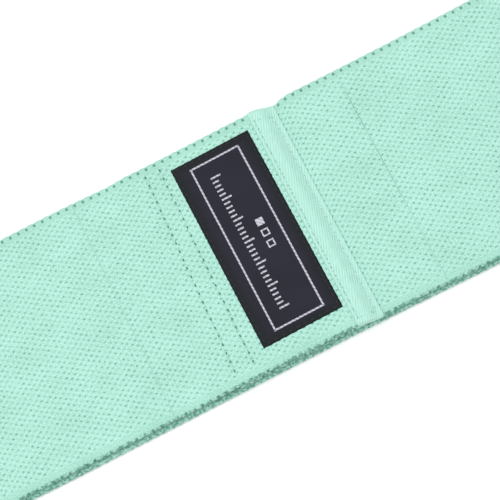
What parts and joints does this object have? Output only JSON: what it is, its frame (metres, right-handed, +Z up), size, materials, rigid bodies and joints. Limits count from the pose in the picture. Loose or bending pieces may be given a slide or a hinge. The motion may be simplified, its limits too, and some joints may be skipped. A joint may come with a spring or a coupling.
{
  "type": "resistance band",
  "caption": "Fabric loop resistance band for hips and legs, mint woven elastic with a sewn lap joint, twill tape and black label, lying flat.",
  "frame": {"origin": "under the middle of the flat loop, on the face that it lies on", "axes": "+X along the flat loop towards its right fold, +Y across the webbing, +Z up from the surface that it lies on"},
  "size_m": [0.38, 0.0808, 0.0075],
  "materials": {
    "webbing": "matte",
    "rubber_thread": "matte",
    "tape": "satin",
    "label": "satin",
    "label_thread": "satin",
    "seam_thread": "satin"
  },
  "bodies": {
    "lower_centre": {"webbing_lower_centre": "webbing", "rubber_lower_centre": "rubber_thread"},
    "left_lower_span": {"webbing_left_lower_span": "webbing", "rubber_left_lower_span": "rubber_thread"},
    "left_lower_outer": {"webbing_left_lower_outer": "webbing", "rubber_left_lower_outer": "rubber_thread"},
    "left_fold": {"webbing_left_fold": "webbing", "rubber_left_fold": "rubber_thread"},
    "left_upper_outer": {"webbing_left_upper_outer": "webbing", "rubber_left_upper_outer": "rubber_thread"},
    "left_upper_span": {"webbing_left_upper_span": "webbing", "rubber_left_upper_span": "rubber_thread"},
    "left_end": {"webbing_left_end": "webbing", "rubber_left_end": "rubber_thread", "label": "label", "label_stitches": "label_thread", "hem_stitches_outer": "seam_thread", "hem_stitches_inner": "seam_thread"},
    "right_lower_span": {"webbing_right_lower_span": "webbing", "rubber_right_lower_span": "rubber_thread"},
    "right_lower_outer": {"webbing_right_lower_outer": "webbing", "rubber_right_lower_outer": "rubber_thread"},
    "right_fold": {"webbing_right_fold": "webbing", "rubber_right_fold": "rubber_thread"},
    "right_upper_outer": {"webbing_right_upper_outer": "webbing", "rubber_right_upper_outer": "rubber_thread"},
    "right_upper_span": {"webbing_right_upper_span": "webbing", "rubber_right_upper_span": "rubber_thread"},
    "right_end": {"webbing_right_end": "webbing", "rubber_right_end": "rubber_thread", "joining_tape": "tape", "tape_stitches": "seam_thread"}
  },
  "joints": [
    {"name": "open", "type": "hinge", "parent": "lower_centre", "child": "left_lower_span", "pos_m": [-0.04, 0, 0.0019], "axis": [0, 1, 0], "range_deg": [0, 60]},
    {"name": "stretch", "type": "slide", "parent": "left_lower_span", "child": "left_lower_outer", "axis": [-1, 0, 0], "range_m": [0, 0.09], "stiffness_N_per_m": 526, "deforming": ["webbing_left_lower_span", "rubber_left_lower_span"]},
    {"name": "open_left_fold_lower", "type": "hinge", "parent": "left_lower_outer", "child": "left_fold", "pos_m": [-0.1876, 0, 0], "axis": [0, -1, 0], "range_deg": [0, 60]},
    {"name": "open_left_fold_upper", "type": "hinge", "parent": "left_fold", "child": "left_upper_outer", "pos_m": [-0.1876, 0, 0.0048], "axis": [0, -1, 0], "range_deg": [0, 60]},
    {"name": "stretch_left_upper", "type": "slide", "parent": "left_upper_outer", "child": "left_upper_span", "axis": [1, 0, 0], "range_m": [0, 0.09], "stiffness_N_per_m": 526, "deforming": ["webbing_left_upper_span", "rubber_left_upper_span"]},
    {"name": "open_left_end", "type": "hinge", "parent": "left_upper_span", "child": "left_end", "pos_m": [-0.04, 0, 0.0029], "axis": [0, 1, 0], "range_deg": [0, 60]},
    {"name": "open_right_lower", "type": "hinge", "parent": "lower_centre", "child": "right_lower_span", "pos_m": [0.04, 0, 0.0019], "axis": [0, -1, 0], "range_deg": [0, 60]},
    {"name": "stretch_right_lower", "type": "slide", "parent": "right_lower_span", "child": "right_lower_outer", "axis": [1, 0, 0], "range_m": [0, 0.09], "stiffness_N_per_m": 526, "deforming": ["webbing_right_lower_span", "rubber_right_lower_span"]},
    {"name": "open_right_fold_lower", "type": "hinge", "parent": "right_lower_outer", "child": "right_fold", "pos_m": [0.1876, 0, 0], "axis": [0, 1, 0], "range_deg": [0, 60]},
    {"name": "open_right_fold_upper", "type": "hinge", "parent": "right_fold", "child": "right_upper_outer", "pos_m": [0.1876, 0, 0.0048], "axis": [0, 1, 0], "range_deg": [0, 60]},
    {"name": "stretch_right_upper", "type": "slide", "parent": "right_upper_outer", "child": "right_upper_span", "axis": [-1, 0, 0], "range_m": [0, 0.09], "stiffness_N_per_m": 526, "deforming": ["webbing_right_upper_span", "rubber_right_upper_span"]},
    {"name": "open_right_end", "type": "hinge", "parent": "right_upper_span", "child": "right_end", "pos_m": [0.04, 0, 0.0029], "axis": [0, -1, 0], "range_deg": [0, 60]}
  ],
  "couplings": [
    {"joint": "open_left_fold_lower", "follows": "open", "ratio": 1},
    {"joint": "open_left_fold_upper", "follows": "open", "ratio": 1},
    {"joint": "stretch_left_upper", "follows": "stretch", "ratio": 1},
    {"joint": "open_left_end", "follows": "open", "ratio": 1},
    {"joint": "open_right_lower", "follows": "open", "ratio": 1},
    {"joint": "stretch_right_lower", "follows": "stretch", "ratio": 1},
    {"joint": "open_right_fold_lower", "follows": "open", "ratio": 1},
    {"joint": "open_right_fold_upper", "follows": "open", "ratio": 1},
    {"joint": "stretch_right_upper", "follows": "stretch", "ratio": 1},
    {"joint": "open_right_end", "follows": "open", "ratio": 1}
  ]
}
